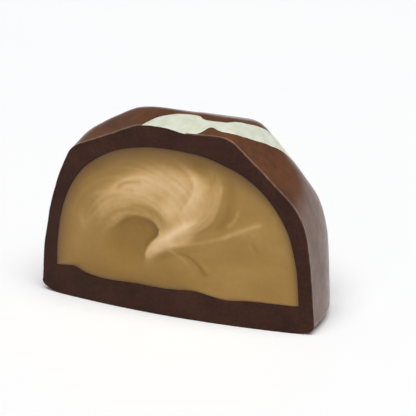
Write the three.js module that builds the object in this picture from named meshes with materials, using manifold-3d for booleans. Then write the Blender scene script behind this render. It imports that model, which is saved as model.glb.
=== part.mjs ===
import * as THREE from "three";
import { mergeVertices } from "three/addons/utils/BufferGeometryUtils.js";
import Module from "manifold-3d";

// One half of a moulded chocolate truffle, cut down through its middle and standing on its flat base.
// A creased dark shell closes over a soft cream filling, and a white stripe is set flush in the crown.
// Millimetres, +Z up. The cut faces -Y, and the origin is the middle of the half's footprint.

// The whole truffle before it is creased: a dome of revolution with steep walls.
const baseRadius = 16;
const domeHeight = 23.5;
const roundPower = 2.2; // how full the crown is in plan
const risePower = 3.2; // how upright the walls are
const footRadius = 13; // flat part of the base
const footRise = 1.2; // height of the rounded rim round the base
const heartHeight = 6; // the creases press towards this point on the axis

// Flat facets pressed into the dome, each a plane with its normal given by an azimuth from +X
// and a tilt from upright, both in degrees, its distance from the heart and how softly it meets
// its neighbours.
const facets = [
  { azimuth: 227.2, tilt: 35.2, distance: 13.67, soft: 0.35 }, // upper left, along the cut
  { azimuth: 277.3, tilt: 20.9, distance: 13.94, soft: 0.35 }, // crown, along the cut
  { azimuth: -8.2, tilt: 44.3, distance: 14.85, soft: 0.35 }, // long slope on the right
  { azimuth: 133, tilt: 45, distance: 14.89, soft: 0.35 }, // back left slope
  { azimuth: 92, tilt: 18.1, distance: 15.29, soft: 0.35 }, // crown, back
  { azimuth: 44, tilt: 55, distance: 15.52, soft: 0.35 }, // back right slope
  { azimuth: 180.4, tilt: 64.3, distance: 15.38, soft: 0.35 }, // left shoulder
  { azimuth: 46.3, tilt: 13.5, distance: 16.46, soft: 0.35 }, // crown, back right
  { azimuth: 182, tilt: 78.9, distance: 15.25, soft: 0.35 }, // left wall
  { azimuth: 2.2, tilt: 85.2, distance: 15.27, soft: 0.35 }, // right wall
  { azimuth: 91, tilt: 56.3, distance: 15.75, soft: 0.35 }, // back slope
  { azimuth: 5.2, tilt: 64.8, distance: 15.54, soft: 0.35 }, // upper right wall
];

// Shallow thumb-like hollows, by azimuth and elevation seen from the heart, angular width and depth.
const hollows = [
  { azimuth: -35, elevation: 80, width: 8, depth: 0.25 }, // crown at the cut
  { azimuth: 70, elevation: 34, width: 11, depth: 0.5 }, // under the back slope
  { azimuth: 118, elevation: 50, width: 10, depth: 0.45 }, // back left slope
];

// The cream inside: a smooth dome on a flat floor.
const fillingRadius = 14.1;
const fillingHeight = 18.2; // above the truffle's base
const floorThickness = 2.95;
const pieceGap = 0.1; // clearance between neighbouring solids

// The cut: its face bellies out a little in the middle.
const cutBow = 1.5;

// The swirl in the cut filling, in the plane of the cut: a small crater, and a crest that leaves
// the crater's lower right rim, sweeps up to the right and curls over the crater to the left.
const craterX = -4.4;
const craterZ = 8.1;
const craterWidth = 3.2;
const craterHeight = 2.5;
const craterDepth = 0.7;
const crestPath = [
  [-2.7, 5.7],
  [-0.7, 7.6],
  [1.9, 9.6],
  [4.2, 12],
  [4, 14.6],
  [1, 15.9],
  [-3.4, 15],
  [-7.6, 12.4],
  [-9.8, 8.6],
];
const crestHeight = 0.6;
const crestOutside = 1.1; // half width of the steep side, away from the crater
const crestInside = 2.6; // half width of the long side, towards the crater
const crestFade = 0.45; // the part of its length over which the crest sinks at its far end
const crestSteps = 60;
const edgeCalm = 1.6; // the relief dies away over this distance from the filling's edge

// The white stripe: a ribbon over the crown, by the plan points of its middle line and the half
// width at each. It pinches in where a crease of the crown crosses it.
const stripePath = [
  { x: -3.2, y: -3.6, half: 1.35 },
  { x: -1, y: -0.95, half: 1.35 },
  { x: 1, y: -0.2, half: 1.6 },
  { x: 2.6, y: -0.1, half: 1.3 },
  { x: 4, y: 0.4, half: 0.5 },
  { x: 5.8, y: 0.5, half: 0.85 },
  { x: 7.2, y: 2.1, half: 0.85 },
  { x: 8.5, y: 4.1, half: 0.95 },
  { x: 11, y: 7.4, half: 1.1 },
  { x: 13.9, y: 10.6, half: 1.15 },
];
const stripeDepth = 0.5;
const stripeEnd = 0.5; // its lower end, above the base

// Fineness of the facets of the solids.
const turnSteps = 72;
const outerSteps = 24;
const innerSteps = 16;
const stripeSteps = 32;
const cutColumns = 40;
const swirlColumns = 60;
const swirlRows = 36;

const wasm = await Module();
wasm.setup();

const radians = THREE.MathUtils.degToRad;
const heart = new THREE.Vector3(0, 0, heartHeight);
const crestCurve = new THREE.SplineCurve(crestPath.map(([x, z]) => new THREE.Vector2(x, z)));
const crestPoints = crestCurve.getSpacedPoints(crestSteps);

// Unit vector with the given azimuth from +X and elevation above the horizon, in degrees.
function direction(azimuth, elevation) {
  const across = Math.cos(radians(elevation));
  return new THREE.Vector3(
    across * Math.cos(radians(azimuth)),
    across * Math.sin(radians(azimuth)),
    Math.sin(radians(elevation)),
  );
}

// Moves a point of the smooth dome along its line to the heart, on to the creased surface.
function pressPoint(point, inset) {
  const ray = point.clone().sub(heart);
  let reach = ray.length();
  ray.normalize();
  for (const facet of facets) {
    const facing = ray.dot(direction(facet.azimuth, 90 - facet.tilt));
    if (facing > 0) {
      const excess = (reach - facet.distance / facing) / facet.soft;
      reach -= facet.soft * (excess > 30 ? excess : Math.log1p(Math.exp(excess)));
    }
  }
  for (const hollow of hollows) {
    const away = ray.angleTo(direction(hollow.azimuth, hollow.elevation));
    reach -= hollow.depth * Math.exp(-((away / radians(hollow.width)) ** 2));
  }
  return ray.multiplyScalar(reach - inset).add(heart);
}

// A closed solid from any closed geometry.
function solidFrom(geometry) {
  const bare = new THREE.BufferGeometry();
  bare.setAttribute("position", geometry.getAttribute("position"));
  if (geometry.index) {
    bare.setIndex(geometry.index);
  }
  const merged = mergeVertices(bare, 1e-4);
  const corners = [];
  for (let i = 0; i < merged.index.count; i += 3) {
    const [a, b, c] = merged.index.array.slice(i, i + 3);
    if (a !== b && b !== c && c !== a) {
      corners.push(a, b, c);
    }
  }
  return new wasm.Manifold(
    new wasm.Mesh({
      numProp: 3,
      vertProperties: merged.attributes.position.array,
      triVerts: new Uint32Array(corners),
    }),
  );
}

// A named mesh from a solid.
function meshFrom(name, solid, material) {
  const { numProp, numVert, vertProperties, triVerts } = solid.getMesh();
  const positions = new Float32Array(numVert * 3);
  for (let i = 0; i < numVert; i += 1) {
    positions.set(vertProperties.subarray(i * numProp, i * numProp + 3), i * 3);
  }
  const geometry = new THREE.BufferGeometry();
  geometry.setAttribute("position", new THREE.BufferAttribute(positions, 3));
  geometry.setIndex(new THREE.BufferAttribute(triVerts, 1));
  geometry.computeVertexNormals();
  const mesh = new THREE.Mesh(geometry, material);
  mesh.name = name;
  return mesh;
}

// Profile of a superelliptic dome from height `from` up to its pole, as radius and height.
function domeProfile(radius, height, from, steps) {
  const start = Math.asin((from / height) ** (risePower / 2));
  const points = [];
  for (let i = 0; i <= steps; i += 1) {
    const turn = start + (Math.PI / 2 - start) * (i / steps) ** 1.5;
    const across = i === steps ? 0 : radius * Math.cos(turn) ** (2 / roundPower);
    points.push(new THREE.Vector2(across, height * Math.sin(turn) ** (2 / risePower)));
  }
  return points;
}

// A solid of revolution about Z from a profile of radius and height that runs up the outside.
// It starts half a step round, so that no column of its corners lies in the plane of the cut.
function spun(profile) {
  return new THREE.LatheGeometry(profile, turnSteps, Math.PI / turnSteps).rotateX(Math.PI / 2);
}

// The whole creased truffle, with its skin moved in by `inset`.
function truffleSolid(inset) {
  const profile = [new THREE.Vector2(0, 0)];
  const rimSteps = 4;
  for (let i = 0; i < rimSteps; i += 1) {
    const turn = (Math.PI / 2) * (i / rimSteps);
    const across = footRadius + (baseRadius - footRadius) * Math.sin(turn);
    profile.push(new THREE.Vector2(across, footRise * (1 - Math.cos(turn))));
  }
  profile.push(...domeProfile(baseRadius, domeHeight, footRise, outerSteps));
  const geometry = spun(profile);
  const positions = geometry.getAttribute("position");
  const point = new THREE.Vector3();
  for (let i = 0; i < positions.count; i += 1) {
    point.fromBufferAttribute(positions, i);
    const onFoot = point.z < footRise / 2;
    if (!onFoot || inset > 0) {
      point.copy(pressPoint(point, inset));
    }
    if (onFoot && inset > 0) {
      point.z -= 2 * inset; // the inset skin runs out through the base
    }
    positions.setXYZ(i, point.x, point.y, point.z);
  }
  return solidFrom(geometry);
}

// The smooth dome of the filling, or of the hollow it sits in when grown by the gap.
function fillingSolid(grow) {
  const floor = floorThickness - grow;
  const profile = [new THREE.Vector2(0, floor)];
  profile.push(...domeProfile(fillingRadius + grow, fillingHeight + grow, floor, innerSteps));
  return solidFrom(spun(profile));
}

// How far the cut face stands in front of the axis at a given X.
function bowAt(x) {
  return cutBow * Math.max(0, 1 - (x / baseRadius) ** 2);
}

// The crest at a point of the cut: 1 on its line, falling off to both sides and along to its end.
function crestAt(x, z) {
  let nearest = Infinity;
  let side = 0;
  let along = 0;
  for (let i = 0; i <= crestSteps; i += 1) {
    const dx = x - crestPoints[i].x;
    const dz = z - crestPoints[i].y;
    const away = Math.hypot(dx, dz);
    if (away < nearest) {
      const next = crestPoints[Math.min(i + 1, crestSteps)];
      const last = crestPoints[Math.max(i - 1, 0)];
      nearest = away;
      side = (next.x - last.x) * dz - (next.y - last.y) * dx;
      along = i / crestSteps;
    }
  }
  const halfWidth = side > 0 ? crestInside : crestOutside;
  const fade = THREE.MathUtils.smoothstep(1 - along, 0, crestFade);
  return fade * Math.exp(-((nearest / halfWidth) ** 2));
}

// Relief of the swirl at a point of the cut: positive towards the eye.
function swirlAt(x, z) {
  const across = x / fillingRadius;
  const fullness = Math.abs(across) ** roundPower + (Math.max(z, 0) / fillingHeight) ** risePower;
  const fromShell = (1 - fullness) * fillingRadius * 0.4;
  const fromFloor = z - floorThickness;
  const calm = THREE.MathUtils.smoothstep(Math.min(fromShell, fromFloor), 0, edgeCalm);
  const inCrater = ((x - craterX) / craterWidth) ** 2 + ((z - craterZ) / craterHeight) ** 2;
  const crater = Math.exp(-(inCrater ** 1.5));
  return calm * (crestHeight * crestAt(x, z) - craterDepth * crater);
}

// The block that the cut takes away, with its face shaped by `relief` on a grid of that fineness.
function knife(relief, columns, rows) {
  const width = 2 * baseRadius + 4;
  const height = domeHeight + 4;
  const depth = baseRadius + 4;
  const block = new THREE.BoxGeometry(width, depth, height, columns, 1, rows);
  block.translate(0, -depth / 2, domeHeight / 2);
  const positions = block.getAttribute("position");
  for (let i = 0; i < positions.count; i += 1) {
    if (positions.getY(i) > -depth / 2) {
      const x = positions.getX(i);
      positions.setY(i, -bowAt(x) - relief(x, positions.getZ(i)));
    }
  }
  return solidFrom(block);
}

// An upright wall with the plan of the stripe, widened on both sides by `grow`.
function stripeWall(grow) {
  const path = new THREE.SplineCurve(stripePath.map(({ x, y }) => new THREE.Vector2(x, y)));
  const widths = new THREE.SplineCurve(stripePath.map(({ half }, i) => new THREE.Vector2(i, half)));
  const left = [];
  const right = [];
  for (let i = 0; i <= stripeSteps; i += 1) {
    const along = i / stripeSteps;
    const middle = path.getPoint(along);
    const tangent = path.getTangent(along);
    const normal = new THREE.Vector2(-tangent.y, tangent.x);
    const half = widths.getPoint(along).y + grow;
    left.push(middle.clone().addScaledVector(normal, half));
    right.push(middle.clone().addScaledVector(normal, -half));
  }
  const outline = new THREE.Shape([...right, ...left.reverse()]);
  const height = domeHeight + 2;
  const wall = new THREE.ExtrudeGeometry(outline, { depth: height, bevelEnabled: false });
  return solidFrom(wall.translate(0, 0, stripeEnd));
}

const darkChocolate = new THREE.MeshStandardMaterial({
  color: 0x46302a,
  roughness: 0.35,
  metalness: 0,
});
const creamFilling = new THREE.MeshStandardMaterial({
  color: 0xb98f58,
  roughness: 0.55,
  metalness: 0,
});
const whiteChocolate = new THREE.MeshStandardMaterial({
  color: 0xe1e3d1,
  roughness: 0.4,
  metalness: 0,
});

const plainCut = knife(() => 0, cutColumns, 1);
const swirledCut = knife(swirlAt, swirlColumns, swirlRows);
const truffle = truffleSolid(0);

const filling = fillingSolid(0).subtract(swirledCut);
const stripe = truffle
  .intersect(stripeWall(0))
  .subtract(truffleSolid(stripeDepth))
  .subtract(plainCut);
const groove = stripeWall(pieceGap).subtract(truffleSolid(stripeDepth + pieceGap));
const shell = truffle.subtract(fillingSolid(pieceGap)).subtract(groove).subtract(plainCut);

const half = new THREE.Group();
half.add(meshFrom("chocolate_shell", shell, darkChocolate));
half.add(meshFrom("cream_filling", filling, creamFilling));
half.add(meshFrom("white_stripe", stripe, whiteChocolate));

// The origin moves from the truffle's axis to the middle of the half's footprint.
const depthRange = new THREE.Box3().setFromObject(half);
half.position.y = -(depthRange.min.y + depthRange.max.y) / 2;

export default half;
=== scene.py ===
import math

import bmesh
import bpy
import numpy as np
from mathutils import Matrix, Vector, noise


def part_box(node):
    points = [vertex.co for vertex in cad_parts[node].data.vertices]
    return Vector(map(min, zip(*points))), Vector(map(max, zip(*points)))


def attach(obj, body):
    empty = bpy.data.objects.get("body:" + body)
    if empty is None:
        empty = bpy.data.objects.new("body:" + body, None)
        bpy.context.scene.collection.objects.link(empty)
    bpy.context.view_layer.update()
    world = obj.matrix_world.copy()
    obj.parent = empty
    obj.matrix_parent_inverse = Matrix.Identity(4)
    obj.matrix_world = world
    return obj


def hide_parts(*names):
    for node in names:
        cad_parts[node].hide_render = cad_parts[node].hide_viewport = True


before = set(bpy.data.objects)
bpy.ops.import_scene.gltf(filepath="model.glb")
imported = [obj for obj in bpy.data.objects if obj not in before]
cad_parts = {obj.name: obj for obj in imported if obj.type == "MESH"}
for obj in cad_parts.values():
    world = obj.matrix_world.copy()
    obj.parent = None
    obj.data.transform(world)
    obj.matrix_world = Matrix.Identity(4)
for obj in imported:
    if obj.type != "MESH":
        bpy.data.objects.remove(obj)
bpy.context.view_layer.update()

scene = bpy.context.scene
mm = 0.001
halvings = 30  # in each search for a surface
outlineRounds = 7  # in which the outline of the cut settles
weldGap = 1e-5  # points of a ball of radius 1 that lie nearer than this are joined
seedStep = (7.3, 3.1, 5.7)  # from one seed's noise to the next one's
noiseRange, twoNoiseRange = (0.3, 0.7), (0.65, 1.35)  # where a noise node, or two added, mostly lie

# Lengths in the dictionaries are in millimetres and angles in degrees. Shapes are worked out over the
# middle of the whole truffle's base, with the cut facing -Y, and moved into the frame at the end.
# Seen that way, X is to the right in the plane of the cut and Z is up.
# Unevenness is given as layers of noise, each with its scale, depth and seed.
truffle = {
    "baseRadius": 16, "domeHeight": 23.5, "roundPower": 2.2, "risePower": 3.2,
    "footRadius": 13, "footRise": 1.2,  # the base is flat out to this radius and curves up past it
    "heart": (0, 0, 6),  # the creases press towards this point
    "farthest": 30,  # no surface is farther from the heart
    "cutBow": 1.5,  # how far the cut face bellies out in its middle
    # flat facets of the crown and walls: azimuth, tilt from upright, distance from the heart
    "facets": [
        (227.2, 35.2, 13.67), (277.3, 20.9, 13.94), (-8.2, 44.3, 14.85), (133, 45, 14.89), (92, 18.1, 15.29),
        (44, 55, 15.52), (180.4, 64.3, 15.38), (46.3, 13.5, 16.46), (182, 78.9, 15.25), (2.2, 85.2, 15.27),
        (91, 56.3, 15.75), (5.2, 64.8, 15.54),
    ],
    "soft": 0.35,  # how softly the facets meet
    # shallow hollows: azimuth, elevation, angular width, depth
    "hollows": [(-35, 80, 8, 0.25), (70, 34, 11, 0.5), (118, 50, 10, 0.45)],
    "uneven": [(4.5, 0.07, 1), (11, 0.025, 2)],
    "unevenFrom": (0.2, 2.5),  # heights between which it sets in, so that the foot stays flat
}
heart = np.array(truffle["heart"], float)
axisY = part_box("chocolate_shell")[0].y / mm + truffle["cutBow"]  # the truffle's axis in the frame


def unit(azimuth, elevation):
    across = math.cos(math.radians(elevation))
    turn = math.radians(azimuth)
    return np.array([across * math.cos(turn), across * math.sin(turn), math.sin(math.radians(elevation))])


def leaning(turns, leans):  # unit vectors that turn in the plane of the cut and lean to the back
    return np.stack([np.cos(turns) * np.cos(leans), np.sin(leans), np.sin(turns) * np.cos(leans)], 1)


def towardsBack(leans, share):  # from some leans to the straight way back
    return leans + (math.pi / 2 - leans) * np.clip(share, 0, 1)


def normed(vectors):
    return vectors / np.linalg.norm(vectors, axis=1)[:, None]


def bowAt(x):  # how far the cut face bellies out
    return truffle["cutBow"] * np.maximum(0, 1 - (x / truffle["baseRadius"]) ** 2)


def smoothStep(value, start, end):  # 0 at the start and before, 1 at the end and past it
    t = np.clip((value - start) / (end - start), 0, 1)
    return t * t * (3 - 2 * t)


def roughness(points, scale, seed):  # smooth noise from -1 to 1, with lumps of about 1 / scale
    shift = Vector([seed * step for step in seedStep])
    return np.array([noise.noise(Vector(p) * scale + shift) for p in points])


def unevenness(points, layers):
    return sum(depth * roughness(points, scale, seed) for scale, depth, seed in layers)


def castOut(ways, isInside):  # how far each unit vector runs from the heart to the edge of a shape
    near, far = np.zeros(len(ways)), np.full(len(ways), truffle["farthest"], float)
    for _ in range(halvings):
        middle = (near + far) / 2
        inside = isInside(heart + ways * middle[:, None])
        near, far = np.where(inside, middle, near), np.where(inside, far, middle)
    return near


def landOn(ways, reach):  # the points where unit vectors from the heart meet a surface
    return heart + ways * reach(ways)[:, None]


def domeFill(points, radius, height):  # 1 on the surface of a superelliptic dome
    across = np.hypot(points[:, 0], points[:, 1]) / radius
    return across ** truffle["roundPower"] + (np.maximum(points[:, 2], 0) / height) ** truffle["risePower"]


def insideTruffle(points):
    rimWidth = truffle["baseRadius"] - truffle["footRadius"]
    overRim = np.clip((np.hypot(points[:, 0], points[:, 1]) - truffle["footRadius"]) / rimWidth, 0, 1)
    floor = truffle["footRise"] * (1 - np.sqrt(1 - overRim**2))
    return (domeFill(points, truffle["baseRadius"], truffle["domeHeight"]) < 1) & (points[:, 2] > floor)


def skinReach(ways):  # from the heart to the creased skin
    found = castOut(ways, insideTruffle)
    soft = truffle["soft"]
    for azimuth, tilt, distance in truffle["facets"]:
        facing = np.maximum(ways @ unit(azimuth, 90 - tilt), 1e-6)  # one that faces away cuts nothing
        found = found - soft * np.logaddexp(0, (found - distance / facing) / soft)
    for azimuth, elevation, width, depth in truffle["hollows"]:
        away = np.degrees(np.arccos(np.clip(ways @ unit(azimuth, elevation), -1, 1)))
        found = found - depth * np.exp(-((away / width) ** 2))
    height = heart[2] + ways[:, 2] * found
    return found + unevenness(ways, truffle["uneven"]) * smoothStep(height, *truffle["unevenFrom"])


def cutOutline(columns, reach):  # where the bowed cut meets a surface: leans and points, one per column
    turns = np.arange(columns) * 2 * math.pi / columns
    leans = np.zeros(columns)
    for _ in range(outlineRounds):
        points = landOn(leaning(turns, leans), reach)
        leans = -np.arcsin(bowAt(points[:, 0]) / np.linalg.norm(points - heart, axis=1))
    points[:, 1] = -bowAt(points[:, 0])
    return leans, points


def moveTo(bm, points):
    for vert, point in zip(bm.verts, points):
        vert.co = point


def ringedBall(columns, rings):  # a ball with its poles along Y, and the ring, column and turn of each point
    bm = bmesh.new()
    bmesh.ops.create_grid(bm, x_segments=columns, y_segments=rings, size=1)
    sheet = np.array([v.co for v in bm.verts])
    moveTo(bm, leaning((sheet[:, 0] + 1) * math.pi, sheet[:, 1] * math.pi / 2))
    bmesh.ops.remove_doubles(bm, verts=bm.verts, dist=weldGap)
    spots = np.array([v.co for v in bm.verts])
    ring = np.rint((np.arcsin(np.clip(spots[:, 1], -1, 1)) / math.pi + 0.5) * rings).astype(int)
    column = np.rint(np.arctan2(spots[:, 2], spots[:, 0]) / (2 * math.pi) * columns).astype(int) % columns
    return bm, ring, column, column * 2 * math.pi / columns


def curveThrough(points, count):  # a smooth curve through a few points, as evenly numbered samples
    knots = np.array(points, float)
    knots = np.vstack([2 * knots[0] - knots[1], knots, 2 * knots[-1] - knots[-2]])
    spot = np.linspace(0, len(points) - 1, count)
    start = np.minimum(spot.astype(int), len(points) - 2)
    t = (spot - start)[:, None]
    a, b, c, d = (knots[start + i] for i in range(4))
    return 0.5 * (2 * b + (c - a) * t + (2 * a - 5 * b + 4 * c - d) * t**2 + (3 * b - a - 3 * c + d) * t**3)


def finishPiece(bm, name, material, node, layers):  # layers are values kept on the points
    bmesh.ops.translate(bm, verts=bm.verts, vec=(0, axisY, 0))
    bmesh.ops.scale(bm, verts=bm.verts, vec=(mm, mm, mm))
    mesh = bpy.data.meshes.new(name)
    bm.to_mesh(mesh)
    bm.free()
    for layer, values in layers.items():
        attribute = mesh.attributes.new(layer, "FLOAT", "POINT")
        attribute.data.foreach_set("value", np.array(values, np.float32))
    mesh.shade_smooth()
    mesh.materials.append(material)
    piece = bpy.data.objects.new(name, mesh)
    scene.collection.objects.link(piece)
    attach(piece, "root")
    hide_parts(node)
    print("made", name, "with", len(mesh.polygons), "faces")


# Shader maths: a Wire is a node's output, and sums on it add Math nodes.
class Wire:
    def __init__(self, nodes, socket):
        self.nodes, self.socket = nodes, socket

    def sum(self, operation, left, right):
        return self.nodes.add("ShaderNodeMath", {"operation": operation}, {0: left, 1: right})

    def __add__(self, other):
        return self.sum("ADD", self, other)

    def __radd__(self, other):
        return self.sum("ADD", other, self)

    def __sub__(self, other):
        return self.sum("SUBTRACT", self, other)

    def __rsub__(self, other):
        return self.sum("SUBTRACT", other, self)

    def __mul__(self, other):
        return self.sum("MULTIPLY", self, other)

    def __rmul__(self, other):
        return self.sum("MULTIPLY", other, self)


def tone(code, strength=1):  # a screen colour such as "8a6b4c" as linear light
    parts = [int(code[i:i + 2], 16) / 255 for i in (0, 2, 4)]
    light = [p / 12.92 if p <= 0.04045 else ((p + 0.055) / 1.055) ** 2.4 for p in parts]
    return (*[part * strength for part in light], 1)


class Nodes:  # the nodes of a material or a world
    def __init__(self, tree):
        self.tree = tree
        tree.nodes.clear()

    def add(self, kind, settings=None, inputs=None, output=0):
        node = self.tree.nodes.new(kind)
        for key, value in (settings or {}).items():
            if key == "stops":
                while len(node.color_ramp.elements) < len(value):
                    node.color_ramp.elements.new(0.5)
                for element, (position, code) in zip(node.color_ramp.elements, value):
                    element.position, element.color = position, tone(code)
            else:
                setattr(node, key, value)
        for key, value in (inputs or {}).items():
            if isinstance(value, Wire):
                self.tree.links.new(value.socket, node.inputs[key])
            else:
                node.inputs[key].default_value = value
        return Wire(self, node.outputs[output]) if node.outputs else None

    def blend(self, factor, low, high):  # a mix of two colours
        return self.add("ShaderNodeMix", {"data_type": "RGBA"}, {0: factor, 6: low, 7: high}, 2)

    def ramp(self, value, source, target=(0, 1)):  # a value spread from one range to another
        inputs = {"Value": value, "From Min": source[0], "From Max": source[1],
                  "To Min": target[0], "To Max": target[1]}
        return self.add("ShaderNodeMapRange", {"interpolation_type": "SMOOTHSTEP"}, inputs)


class Finish(Nodes):  # a material
    def __init__(self, name):
        self.material = bpy.data.materials.new(name)
        self.material.use_nodes = True
        super().__init__(self.material.node_tree)
        self.place = self.add("ShaderNodeTexCoord", output="Object")

    def grain(self, size, detail=3, stretch=(1, 1, 1), rough=0.5):  # noise with lumps of a size
        at = self.add("ShaderNodeMapping", None, {"Vector": self.place, "Scale": stretch})
        inputs = {"Vector": at, "Scale": 1 / (size * mm), "Detail": detail, "Roughness": rough}
        return self.add("ShaderNodeTexNoise", None, inputs, "Fac")

    def layer(self, name):  # a value kept on the piece's points
        return self.add("ShaderNodeAttribute", {"attribute_name": name}, output="Fac")

    def mottled(self, value, source, tones):  # two colours, mixed as a value goes through a range
        return self.blend(self.ramp(value, source), tone(tones[0]), tone(tones[1]))

    def bump(self, height, distance):
        return self.add("ShaderNodeBump", None, {"Height": height, "Distance": distance * mm}, "Normal")

    def close(self, **inputs):  # the surface's inputs by name, with _ for a space
        named = {name.replace("_", " "): value for name, value in inputs.items()}
        surface = self.add("ShaderNodeBsdfPrincipled", None, named)
        self.add("ShaderNodeOutputMaterial", None, {"Surface": surface})
        return self.material


# Camera, at the photograph's viewing angle and distance.
view = {
    "spot": (108.3, -222.2, 91.1), "target": (0.3, 0.0, 9.4), "lens": 213,
    "nearest": 10,  # anything nearer is clipped
}

camera = bpy.data.objects.new("camera", bpy.data.cameras.new("camera"))
scene.collection.objects.link(camera)
camera.data.lens = view["lens"]
camera.data.clip_start = view["nearest"] * mm
camera.location = Vector(view["spot"]) * mm
camera.rotation_mode = "QUATERNION"
camera.rotation_quaternion = (Vector(view["target"]) - Vector(view["spot"])).to_track_quat("-Z", "Y")
scene.camera = camera
print("camera set")

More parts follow.
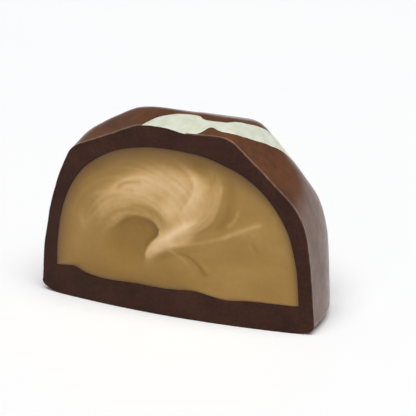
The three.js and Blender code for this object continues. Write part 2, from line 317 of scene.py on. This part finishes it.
# The cream: a ball whose back rings fill the shell, and whose front rings are the swirled cut face.
cream = {
    "radius": 14.1, "height": 18.2, "floor": 2.95,
    # bumps and dips of its floor: x, height, width
    "floorBumps": [(-12, 0.55, 1.3), (-7.5, -0.15, 2), (2.6, 0.25, 1.6), (6.5, -0.25, 1.8)],
    "uneven": [(5, 0.05, 4)],  # its wall
    "overlap": 0.08,  # how far it runs into the shell
    "columns": 560, "frontRings": 124, "backRings": 20,
    # the crater of the swirl: its middle and rim in the plane of the cut
    "middle": (-4.4, 8.1),
    "crater": [
        (-1.45, 9.2), (-1.8, 9.75), (-2.35, 10.1), (-3.1, 10.25), (-4, 10.25), (-4.9, 10), (-5.7, 9.5),
        (-6.3, 8.85), (-6.9, 8.1), (-7.3, 7.2), (-7, 6.2), (-5.8, 5.5), (-4.2, 5.3), (-3.4, 5.5),
        (-3.15, 6.2), (-2.85, 7.1), (-2.25, 7.85), (-1.6, 8.5),
    ],
    # the crater's depth, and painted shade darkening its hollow
    "rimSamples": 300, "craterDepth": 0.38, "craterShade": -0.22,
    # the rim is crisp towards one angle, and gets softer away from it as the cosine goes through a range
    "rimSoft": 0.32, "crispAngle": 60, "openSoft": 1.4, "openRange": (-0.1, -0.9),
    # raised parts are placed this much to the right and higher per height, as the eye is high at the right
    "lean": (0.5, 0.38), "leanRounds": 2,
    # the crest: path from the tip round the top, half width to its left and right, lift and tint
    "crest": (
        [(-2.65, 5.9), (-2, 7.1), (-0.1, 8.7), (1.8, 10.05), (3.65, 11.85), (4.4, 13.6), (4.5, 15),
         (4.3, 16)], 2.6, 0.9, 0.45, 0.22),
    # smears, with the same numbers
    "smears": [
        ([(2.6, 15.2), (0.4, 15.3), (-2.6, 14.6), (-6, 12.8), (-8, 11.1), (-9, 9.6)], 2.2, 1.3, 0.24, 0.26),
        ([(-2.65, 5.8), (-2.45, 6.7), (-1.5, 7.85), (0, 8.9), (1.3, 9.7), (2.7, 10.6)],
         0.65, 0.65, 0.07, 0.28),
        ([(-0.9, 8), (0.3, 8.9), (1.3, 9.75), (2.2, 10.3), (3.6, 10.9)], 0.4, 0.3, 0.03, 0.15),
        ([(-2.1, 6.3), (-1.3, 7.1), (-0.1, 7.8), (1.2, 8.3), (2.2, 8.9), (3, 9.8)], 0.7, 0.4, 0.08, 0.24),
        ([(1.6, 16.3), (2.6, 15.5), (3, 14.6), (2.7, 13.4), (1.9, 12.2), (0.9, 10.9)], 1.1, 0.3, 0.07, 0.3),
        ([(5.75, 16), (5.85, 14.6), (5.6, 13.2), (5.2, 12), (4.6, 10.9), (3.5, 10.05), (2.2, 9.4)],
         0.2, 0.9, 0.15, 0.2),
        ([(4.7, 15.8), (4.5, 14.6), (4.6, 13.2), (4.1, 12)], 0.4, 0.4, -0.03, -0.05),
        ([(6.7, 16), (6.8, 14.6), (6.7, 13.2), (6.4, 11.9), (5.9, 10.8), (5.1, 9.9)], 0.6, 0.4, -0.1, -0.15),
        ([(-0.8, 11.4), (0.4, 12.4), (0.4, 13.8), (-1.6, 14.2), (-4, 13.4), (-6.4, 11.9)], 1.5, 1.5, 0, 0.24),
        ([(-3.6, 12.1), (-1.8, 12.1), (-0.3, 11.5), (0.8, 10.6)], 0.9, 0.9, 0.06, 0.22),
        ([(1, 16), (1.8, 15.2), (1.5, 13.8), (0.8, 12.4)], 0.9, 0.9, 0, 0.14),
        ([(-9, 12.2), (-7.7, 12.5), (-6.6, 13), (-5.9, 13.7), (-4.9, 14.3), (-3.6, 14.7), (-1.8, 14.9)],
         0.2, 0.3, 0.07, 0.1),
        ([(-6.2, 13.15), (-5.2, 13.8), (-4, 14.15), (-3, 14.2)], 0.2, 0.2, -0.03, -0.15),
        ([(-5.4, 12.9), (-4.4, 13.15), (-3.6, 13.2)], 0.2, 0.2, -0.03, -0.12),
        ([(-7, 9.2), (-6, 10.1), (-5, 10.55), (-4, 10.75), (-3, 10.75), (-1.9, 10.5)], 0.25, 0.2, 0.02, 0.08),
        ([(-5.2, 11.3), (-4, 11.45), (-3, 11.45), (-2, 11.3), (-1.3, 10.8), (-0.6, 10.1)],
         0.3, 0.3, -0.04, -0.08),
        ([(-10.3, 10.4), (-10.6, 8.8), (-10.2, 6.8)], 1.1, 1.1, 0, 0.2),
        ([(-0.5, 7.6), (1.4, 8.05), (3.6, 8.55), (4.6, 8.9), (6, 9.4), (7, 9.9), (9, 10.85), (10.4, 11.45)],
         0.3, 0.25, 0.05, 0.15),
        ([(7.8, 12.8), (7.4, 11.8), (6.9, 11.1), (6.1, 10.5)], 0.28, 0.22, 0.03, 0.2),
        ([(-0.5, 7.4), (0.6, 7.05), (1.6, 6.5), (2.1, 5.8)], 0.25, 0.25, 0.04, 0.12),
        ([(0.6, 7.1), (2, 6.9), (3, 6.25), (3.7, 5.5), (4.1, 4.8)], 0.2, 0.2, -0.07, -0.2),
        ([(2.9, 7), (3.6, 6.5), (4.4, 5.6), (5.6, 5)], 0.25, 0.25, 0.05, 0.06),
        ([(0.8, 7.4), (2, 7.4), (4, 7.7)], 0.2, 0.2, -0.02, -0.06),
        ([(9.1, 9.4), (9.6, 8.6), (10, 7.8)], 0.18, 0.18, -0.02, -0.1),
        ([(8.7, 9.1), (9.1, 8.4), (9.5, 7.7)], 0.15, 0.15, 0.03, 0.1),
        ([(-11.4, 7.2), (-11.3, 6.2), (-11, 5.2)], 0.8, 0.8, 0, 0.24),
        ([(-12.6, 11), (-11.6, 13.2), (-9.8, 15), (-7.4, 16.2)], 1, 1, 0, -0.35),
        ([(1.8, 17.4), (3.2, 16.9), (4.2, 15.9)], 0.8, 0.8, 0, -0.3),
        ([(-1.2, 5.4), (-0.2, 4.9), (1, 4.7)], 1, 1, 0, -0.12),
        ([(-1.9, 5.7), (-1.2, 6.2), (-0.3, 6.6), (0.8, 6.8)], 0.35, 0.35, -0.04, -0.14),
        ([(2.6, 6), (2.7, 5.2), (2.4, 4.6)], 0.35, 0.35, 0.02, 0.1),
        ([(4.8, 4.6), (5.4, 4.3), (6, 4.2)], 0.4, 0.3, -0.04, -0.12),
        # broad shades: the left and the foot are darker
        ([(-13.5, 12), (-13.5, 3)], 4.5, 4.5, 0, -0.25),
        ([(-12, 2.6), (4, 2.4)], 2.2, 2.2, 0, -0.3),
    ],
    "paleness": 0.02,  # tint that is added all over
    "smearSamples": 24,  # per point of a path
    "smearReach": 2.2,  # in half widths
    "sideBlend": 0.08,  # how near its path the half width of one side blends into the other's
    "fadeStart": -0.01, "fadeLength": 0.3, "fadeWidths": 1.5,  # ends fade over a length and some half widths
    # fine streaks: how close they lie, how fast they change lengthwise, and where they set in
    "ringed": {"close": 2.2, "change": 1.3, "seed": 7, "squash": 1.15, "z": (7, 11), "x": (3.4, 1.6)},
    "drawn": {"close": 6, "change": 0.2, "seed": 12, "crest": (0.15, 0.5), "x": (1.4, 3)},
    "fanned": {"close": 9, "change": 0.22, "seed": 8, "from": (-6, 5), "x": (0.5, 4),
               "top": 11, "topSlope": 0.4, "topFade": 3, "strength": 1.5},
    "streakLift": 0.02, "streakTint": 0.08,
    "patches": (1.5, 11), "patchLift": 0.012, "patchTint": 0.03,  # noise scale and seed
    # distances from the edge between which the relief and the smears' tint set in, and a dip at the edge
    "reliefFrom": (0.1, 1.7), "tintFrom": (0, 1.2), "edgeDip": 0.06, "dipWidth": 0.5,
    # the darker border of painted shade where the cream meets the shell: its width, what that gains towards
    # the top and the left, and how it falls off
    "border": 0.5, "shadeTop": 1.0, "topRange": (12, 17), "shadeLeft": 0.4, "leftRange": (-9, -13),
    "shadePower": 1.3,
    "tones": [(0, "835f1b"), (0.33, "9d7b3e"), (0.62, "c5a069"), (1, "e8caa0")],
    "tintRange": (-0.5, 1.0),  # tints of the first and last tone
    "fineTint": 0.12,  # what the fine grain changes in it
    # tone and strength of the painted shade along the join with the shell
    "shadeTone": "50361c", "shadeStrength": 0.85,
    "rough": (0.45, 0.58),
}


def floorAt(x):
    level = np.full(len(x), cream["floor"], float)
    for middle, height, width in cream["floorBumps"]:
        level = level + height * np.exp(-(((x - middle) / width) ** 2))
    return level


def hollowReach(ways, grow=0.0):  # from the heart to the wall of the cream, or to that wall moved out
    def inside(points):
        dome = domeFill(points, cream["radius"] + grow, cream["height"] + grow)
        return (dome < 1) & (points[:, 2] > floorAt(points[:, 0]) - grow)
    return castOut(ways, inside) + unevenness(ways, cream["uneven"])


def smearAt(x, z, path, left, right):  # 1 on a path, less to its sides and ends
    mark = np.zeros(len(x))
    widest = max(left, right)
    line = curveThrough(path, cream["smearSamples"] * len(path))
    low, high = line.min(0) - cream["smearReach"] * widest, line.max(0) + cream["smearReach"] * widest
    near = (x > low[0]) & (x < high[0]) & (z > low[1]) & (z < high[1])
    step = normed(np.gradient(line, axis=0))
    dx, dz = x[near, None] - line[:, 0], z[near, None] - line[:, 1]
    toLeft = smoothStep(step[:, 0] * dz - step[:, 1] * dx, -cream["sideBlend"], cream["sideBlend"])
    half = right + (left - right) * toLeft
    length = np.linspace(0, 1, len(line)) * np.linalg.norm(np.diff(line, axis=0), axis=1).sum()
    fade = cream["fadeStart"], cream["fadeWidths"] * widest + cream["fadeLength"]
    ends = smoothStep(length, *fade) * smoothStep(length[-1] - length, *fade)
    mark[near] = (ends * np.exp(-((dx**2 + dz**2) / half**2))).max(1)
    return mark


def craterAt(x, z):  # 1 in the crater, 0 outside; the lower left rim is open
    middle = cream["middle"]
    rim = curveThrough(cream["crater"] + cream["crater"][:1], cream["rimSamples"]) - middle
    dx, dz = x - middle[0], z - middle[1]
    turn = np.arctan2(dz, dx)
    rimTurn, rimReach = np.arctan2(rim[:, 1], rim[:, 0]), np.hypot(rim[:, 0], rim[:, 1])
    edge = np.interp(turn, rimTurn, rimReach, period=2 * math.pi)
    opening = smoothStep(np.cos(turn - math.radians(cream["crispAngle"])), *cream["openRange"])
    soft = cream["rimSoft"] + cream["openSoft"] * opening
    return 1 - smoothStep(np.hypot(dx, dz), edge - soft, edge + soft)


def streaksAt(x, z, crest):
    kind = cream["ringed"]  # round the crater
    dx, dz = x - cream["middle"][0], z - cream["middle"][1]
    radius, turn = np.hypot(dx, dz * kind["squash"]), np.arctan2(dz, dx)
    along = np.stack([np.cos(turn), np.sin(turn)], 1) * kind["change"]
    noiseOn = np.column_stack([radius * kind["close"], along])
    streak = roughness(noiseOn, 1, kind["seed"]) * smoothStep(z, *kind["z"]) * smoothStep(x, *kind["x"])

    kind = cream["drawn"]  # along the crest
    noiseOn = np.stack([crest * kind["close"], (x + z) * kind["change"], 0 * x], 1)
    onCrest = smoothStep(crest, *kind["crest"]) * smoothStep(x, *kind["x"])
    streak = streak + roughness(noiseOn, 1, kind["seed"]) * onCrest

    kind = cream["fanned"]  # in a fan to the right of the tip
    dx, dz = x - kind["from"][0], z - kind["from"][1]
    noiseOn = np.stack([np.arctan2(dz, dx) * kind["close"], np.hypot(dx, dz) * kind["change"], 0 * x], 1)
    below = smoothStep(kind["top"] - z + kind["topSlope"] * x, 0, kind["topFade"])
    inFan = (1 - crest) * smoothStep(x, *kind["x"]) * below
    return streak + kind["strength"] * roughness(noiseOn, 1, kind["seed"]) * inFan


def swirlAt(x, z):  # lift of the cream towards the eye, and its tint
    path, left, right, height, pale = cream["crest"]
    leanX, leanZ = cream["lean"]
    lift = np.zeros(len(x))
    for _ in range(cream["leanRounds"]):
        seenX, seenZ = x - leanX * lift, z - leanZ * lift
        crest = smearAt(seenX, seenZ, path, left, right)
        lift = height * crest
    crater = craterAt(seenX, seenZ)
    tint = pale * crest
    for path, left, right, height, pale in cream["smears"]:
        mark = smearAt(seenX, seenZ, path, left, right)
        lift, tint = lift + height * mark, tint + pale * mark
    lift = lift * (1 - crater) - cream["craterDepth"] * crater
    # painted shade in the crater's hollow
    tint = tint * (1 - crater) + cream["craterShade"] * crater + cream["paleness"]
    streak, patchy = streaksAt(x, z, crest), roughness(np.stack([x, z, 0 * x], 1), *cream["patches"])
    lift = lift + cream["streakLift"] * streak + cream["patchLift"] * patchy
    return lift, tint + cream["streakTint"] * streak + cream["patchTint"] * patchy


def makeCream(material):
    columns, front = cream["columns"], cream["frontRings"]
    rings = front + cream["backRings"]
    bm, ring, column, turns = ringedBall(columns, rings)

    def reach(ways):
        return hollowReach(ways, cream["overlap"])

    leans, edge = cutOutline(columns, reach)
    points = np.zeros((len(ring), 3))
    onBack = ring > front
    lean = towardsBack(leans[column], (ring - front) / (rings - front))
    points[onBack] = landOn(leaning(turns[onBack], lean[onBack]), reach)

    share = np.clip(ring / front, 0, 1)
    middle = np.array([cream["middle"][0], 0, cream["middle"][1]])
    face = middle + (edge[column] - middle) * share[:, None]
    x, z = face[:, 0], face[:, 2]
    toEdge = (1 - share) * np.linalg.norm((edge[column] - middle)[:, [0, 2]], axis=1)
    lift, tint = swirlAt(x, z)
    dip = cream["edgeDip"] * np.exp(-((toEdge / cream["dipWidth"]) ** 2))
    face[:, 1] = -bowAt(x) - lift * smoothStep(toEdge, *cream["reliefFrom"]) + dip
    points[~onBack] = face[~onBack]
    moveTo(bm, points)
    bmesh.ops.recalc_face_normals(bm, faces=bm.faces)

    # width of the painted shade along the join with the shell, wider towards the top and the left
    shadeWidth = cream["border"] + cream["shadeTop"] * smoothStep(z, *cream["topRange"])
    shadeWidth = shadeWidth + cream["shadeLeft"] * smoothStep(x, *cream["leftRange"])
    layers = {
        "smear": tint * smoothStep(toEdge, *cream["tintFrom"]),
        "border": np.exp(-((toEdge / shadeWidth) ** cream["shadePower"])),
    }
    finishPiece(bm, "cream", material, "cream_filling", layers)


def creamFilling():
    finish = Finish("cream filling")
    fine = finish.grain(size=0.5, detail=4)
    value = finish.ramp(finish.layer("smear") + (fine - 0.5) * cream["fineTint"], cream["tintRange"])
    colour = finish.add("ShaderNodeValToRGB", {"stops": cream["tones"]}, {"Fac": value}, "Color")
    # painted shade where the cream meets the shell
    border = finish.layer("border") * cream["shadeStrength"]
    colour = finish.blend(border, colour, tone(cream["shadeTone"]))
    pores = finish.bump(finish.grain(size=0.25, detail=4), distance=0.02)
    return finish.close(Base_Color=colour, Roughness=finish.ramp(fine, noiseRange, cream["rough"]),
                        Normal=pores, IOR=1.4,
                        Subsurface_Weight=0.15, Subsurface_Radius=(1.0, 0.6, 0.3), Subsurface_Scale=0.5 * mm)


# The dark shell: a ball whose back rings are the skin, middle rings the cut and front rings the hollow.
shell = {
    "columns": 480, "skinRings": 100, "cutRings": 9, "hollowRings": 24,
    "edgeRound": 0.2, "edgeSteps": 3,
    "grit": [(1.1, 0.02, 5), (2.6, 0.01, 6)],  # unevenness of the cut
    "gritFrom": (0, 0.5),  # heights between which it sets in
    # distances behind the cut, from none to all of its look, and the start and end of a painted highlight
    # along the lip of the cut
    "cutEnds": (0.1, 0.035), "highlightStarts": (0.01, 0.06), "highlightEnds": (0.24, 0.12),
    # the lip's tone is a painted highlight along the outer edge of the cut
    "skinTones": ("51331f", "663f26"), "cutTones": ("2f1912", "3f261c"), "highlightTone": "a5836c",
    "highlightRange": (0.35, 0.65), "highlightStrength": (0.35, 0.8),
    "skinRough": (0.35, 0.45), "cutRough": (0.55, 0.7),
    "skinRelief": 0.4, "coat": 0.6,
}


def makeShell(material):
    columns, inner = shell["columns"], shell["hollowRings"]
    outer = inner + shell["cutRings"]
    rings = outer + shell["skinRings"]
    bm, ring, column, turns = ringedBall(columns, rings)
    skinLeans, skinEdge = cutOutline(columns, skinReach)
    hollowLeans, hollowEdge = cutOutline(columns, hollowReach)

    points = np.zeros((len(ring), 3))
    onSkin, inHollow = ring > outer, ring < inner
    onCut = ~onSkin & ~inHollow
    lean = towardsBack(skinLeans[column], (ring - outer) / (rings - outer))
    points[onSkin] = landOn(leaning(turns[onSkin], lean[onSkin]), skinReach)
    lean = towardsBack(hollowLeans[column], (inner - ring) / inner)
    points[inHollow] = landOn(leaning(turns[inHollow], lean[inHollow]), hollowReach)
    share = ((ring - inner) / (outer - inner))[onCut, None]
    cut = hollowEdge[column[onCut]] * (1 - share) + skinEdge[column[onCut]] * share
    cut[:, 1] = -bowAt(cut[:, 0])
    cut[:, 1] += unevenness(cut, shell["grit"]) * smoothStep(cut[:, 2], *shell["gritFrom"])
    points[onCut] = cut
    moveTo(bm, points)

    lip = [e for e in bm.edges if all(ring[v.index] == outer for v in e.verts)]
    bmesh.ops.bevel(bm, geom=lip, offset=shell["edgeRound"], segments=shell["edgeSteps"], profile=0.5,
                    affect="EDGES", material=-1, clamp_overlap=True)
    bmesh.ops.recalc_face_normals(bm, faces=bm.faces)
    for vert in bm.verts:
        vert.co.z = max(vert.co.z, 0)
    spots = np.array([v.co for v in bm.verts])
    behind = spots[:, 1] + bowAt(spots[:, 0])  # how far behind the cut
    layers = {
        "cut": smoothStep(behind, *shell["cutEnds"]),
        # where the painted highlight along the lip of the cut lies
        "lip": smoothStep(behind, *shell["highlightStarts"]) * smoothStep(behind, *shell["highlightEnds"]),
    }
    finishPiece(bm, "shell", material, "chocolate_shell", layers)


def darkChocolate():
    finish = Finish("dark chocolate")
    cut = finish.layer("cut")
    mottle = finish.grain(size=3.0)
    fine = finish.grain(size=0.35, detail=4)
    blotch = finish.grain(size=0.8, detail=4, stretch=(1, 1, 0.5), rough=0.6)
    skin = finish.mottled(mottle + blotch, twoNoiseRange, shell["skinTones"])
    inside = finish.mottled(fine + mottle, twoNoiseRange, shell["cutTones"])
    # painted highlight along the lip of the cut, patchy with the blotches
    lip = finish.layer("lip") * finish.ramp(blotch, shell["highlightRange"], shell["highlightStrength"])
    colour = finish.blend(lip, finish.blend(cut, skin, inside), tone(shell["highlightTone"]))
    skinRough = finish.ramp(finish.grain(size=1.2), noiseRange, shell["skinRough"])
    cutRough = finish.ramp(fine, noiseRange, shell["cutRough"])
    waves, crumb = finish.grain(size=0.9), finish.grain(size=0.22, detail=4)
    height = waves * shell["skinRelief"] * (1 - cut) + crumb * cut
    return finish.close(Base_Color=colour, Roughness=skinRough * (1 - cut) + cutRough * cut,
                        Normal=finish.bump(height, distance=0.04), IOR=1.22,
                        Coat_Weight=(1 - cut) * shell["coat"], Coat_Roughness=0.27, Coat_IOR=1.5)


# The white stripe: a ribbon laid over the crown and down the back right wall.
stripe = {
    # middle line and half width; each point is dropped on to the skin
    "path": [
        (-3.2, -3.6, 19.3, 1.35), (-1, -0.95, 20.6, 1.35), (1, -0.2, 20.7, 1.6), (2.6, -0.1, 20.6, 1.3),
        (4, 0.4, 20.8, 0.5), (5.8, 0.5, 20.8, 0.9), (7.2, 2.1, 20.1, 1), (8.5, 4.1, 19, 1.05),
        (10.5, 7, 15.2, 1.1), (12, 8.6, 11.6, 1.15), (12.8, 9.4, 7.5, 1.15), (12.9, 9.6, 3.5, 1.15),
        (12.9, 9.6, 0.6, 1.1),
    ],
    "steps": 220, "across": 26,
    "widthUneven": [(0.9, 0.05, 9)], "sway": [(1.7, 0.04, 10)],
    "proud": 0.06, "thick": 0.17,  # above the skin, and its whole thickness
    "edgeSunk": 0.03, "edgeShare": 0.12,  # its edges dip into the skin over this share of its half width
    "behindCut": 0.005,  # where it is trimmed
    "tones": ("c8ccb6", "d9dccf"), "rough": (0.33, 0.45),
}


def straighten(bm, share):  # moves points by a share of the cut's bow
    for vert in bm.verts:
        vert.co.y += share * float(bowAt(vert.co.x))


def makeStripe(material):
    path = curveThrough(stripe["path"], stripe["steps"])
    half = path[:, 3]
    line = landOn(normed(path[:, :3] - heart), skinReach)
    side = normed(np.cross(np.gradient(line, axis=0), line - heart))

    bm = bmesh.new()
    bmesh.ops.create_grid(bm, x_segments=stripe["steps"] - 1, y_segments=stripe["across"], size=1)
    spots = np.array([v.co for v in bm.verts])
    step = np.rint((spots[:, 0] + 1) / 2 * (stripe["steps"] - 1)).astype(int)
    t = spots[:, 1]
    width = (half + unevenness(line, stripe["widthUneven"]))[step]
    width = width + np.sign(t) * unevenness(line, stripe["sway"])[step]
    ways = normed(line[step] + side[step] * (t * width)[:, None] - heart)
    inner = smoothStep(1 - np.abs(t), 0, stripe["edgeShare"])
    height = stripe["proud"] * inner - stripe["edgeSunk"] * (1 - inner)
    moveTo(bm, landOn(ways, skinReach) + ways * height[:, None])
    upper = set(bm.verts)
    bmesh.ops.extrude_face_region(bm, geom=bm.faces[:])
    for vert in bm.verts:
        if vert not in upper:
            vert.co += (Vector(heart) - vert.co).normalized() * stripe["thick"]

    # the end at the cut: the bow is straightened, the ribbon trimmed and closed, and the bow put back
    straighten(bm, 1)
    bmesh.ops.bisect_plane(bm, geom=bm.verts[:] + bm.edges[:] + bm.faces[:],
                           plane_co=(0, stripe["behindCut"], 0), plane_no=(0, -1, 0), clear_outer=True)
    bmesh.ops.holes_fill(bm, edges=[e for e in bm.edges if e.is_boundary])
    straighten(bm, -1)
    bmesh.ops.recalc_face_normals(bm, faces=bm.faces)
    finishPiece(bm, "stripe", material, "white_stripe", {})


def whiteChocolate():
    finish = Finish("white chocolate")
    mottle = finish.grain(size=1.5)
    return finish.close(Base_Color=finish.mottled(mottle, noiseRange, stripe["tones"]),
                        Roughness=finish.ramp(mottle, noiseRange, stripe["rough"]),
                        Normal=finish.bump(finish.grain(size=0.5), distance=0.02), IOR=1.46,
                        Subsurface_Weight=0.15, Subsurface_Radius=(1.0, 0.9, 0.7), Subsurface_Scale=0.3 * mm)


makeShell(darkChocolate())
makeCream(creamFilling())
makeStripe(whiteChocolate())

# Floor and lights.
studio = {
    "floorHalf": 3000, "floorTones": ("fbfdff", "feffff"),
    "sky": ("f2f0ff", 0.12), "horizon": ("ffffff", 1.2),  # colour and strength above, and all round
    "glow": (0.03, 0.3),  # the horizon gives way to the sky between these heights of a unit vector
    "key": {"from": (0.2, -0.34, 1), "strength": 3.1, "width": 58, "colour": "fffefc"},
}


def makeFloor():
    bm = bmesh.new()
    bmesh.ops.create_grid(bm, x_segments=1, y_segments=1, size=studio["floorHalf"] * mm)
    mesh = bpy.data.meshes.new("floor")
    bm.to_mesh(mesh)
    bm.free()
    finish = Finish("pale table")
    colour = finish.blend(finish.grain(size=40, detail=2), *[tone(code) for code in studio["floorTones"]])
    mesh.materials.append(finish.close(Base_Color=colour, Roughness=0.6))
    floor = bpy.data.objects.new("floor", mesh)
    scene.collection.objects.link(floor)


def makeLights():
    scene.world = bpy.data.worlds.new("studio")
    scene.world.use_nodes = True
    nodes = Nodes(scene.world.node_tree)
    way = nodes.add("ShaderNodeTexCoord", output="Generated")
    height = nodes.add("ShaderNodeSeparateXYZ", None, {"Vector": way}, "Z")
    colour = nodes.blend(nodes.ramp(height, studio["glow"]), tone(*studio["horizon"]), tone(*studio["sky"]))
    background = nodes.add("ShaderNodeBackground", None, {"Color": colour})
    nodes.add("ShaderNodeOutputWorld", None, {"Surface": background})

    key = studio["key"]
    sun = bpy.data.lights.new("key", "SUN")
    sun.energy, sun.angle, sun.color = key["strength"], math.radians(key["width"]), tone(key["colour"])[:3]
    holder = bpy.data.objects.new("key", sun)
    holder.rotation_mode = "QUATERNION"
    holder.rotation_quaternion = (-Vector(key["from"])).to_track_quat("-Z", "Y")
    scene.collection.objects.link(holder)


makeFloor()
makeLights()
scene.view_settings.view_transform = "Standard"
print("studio set")
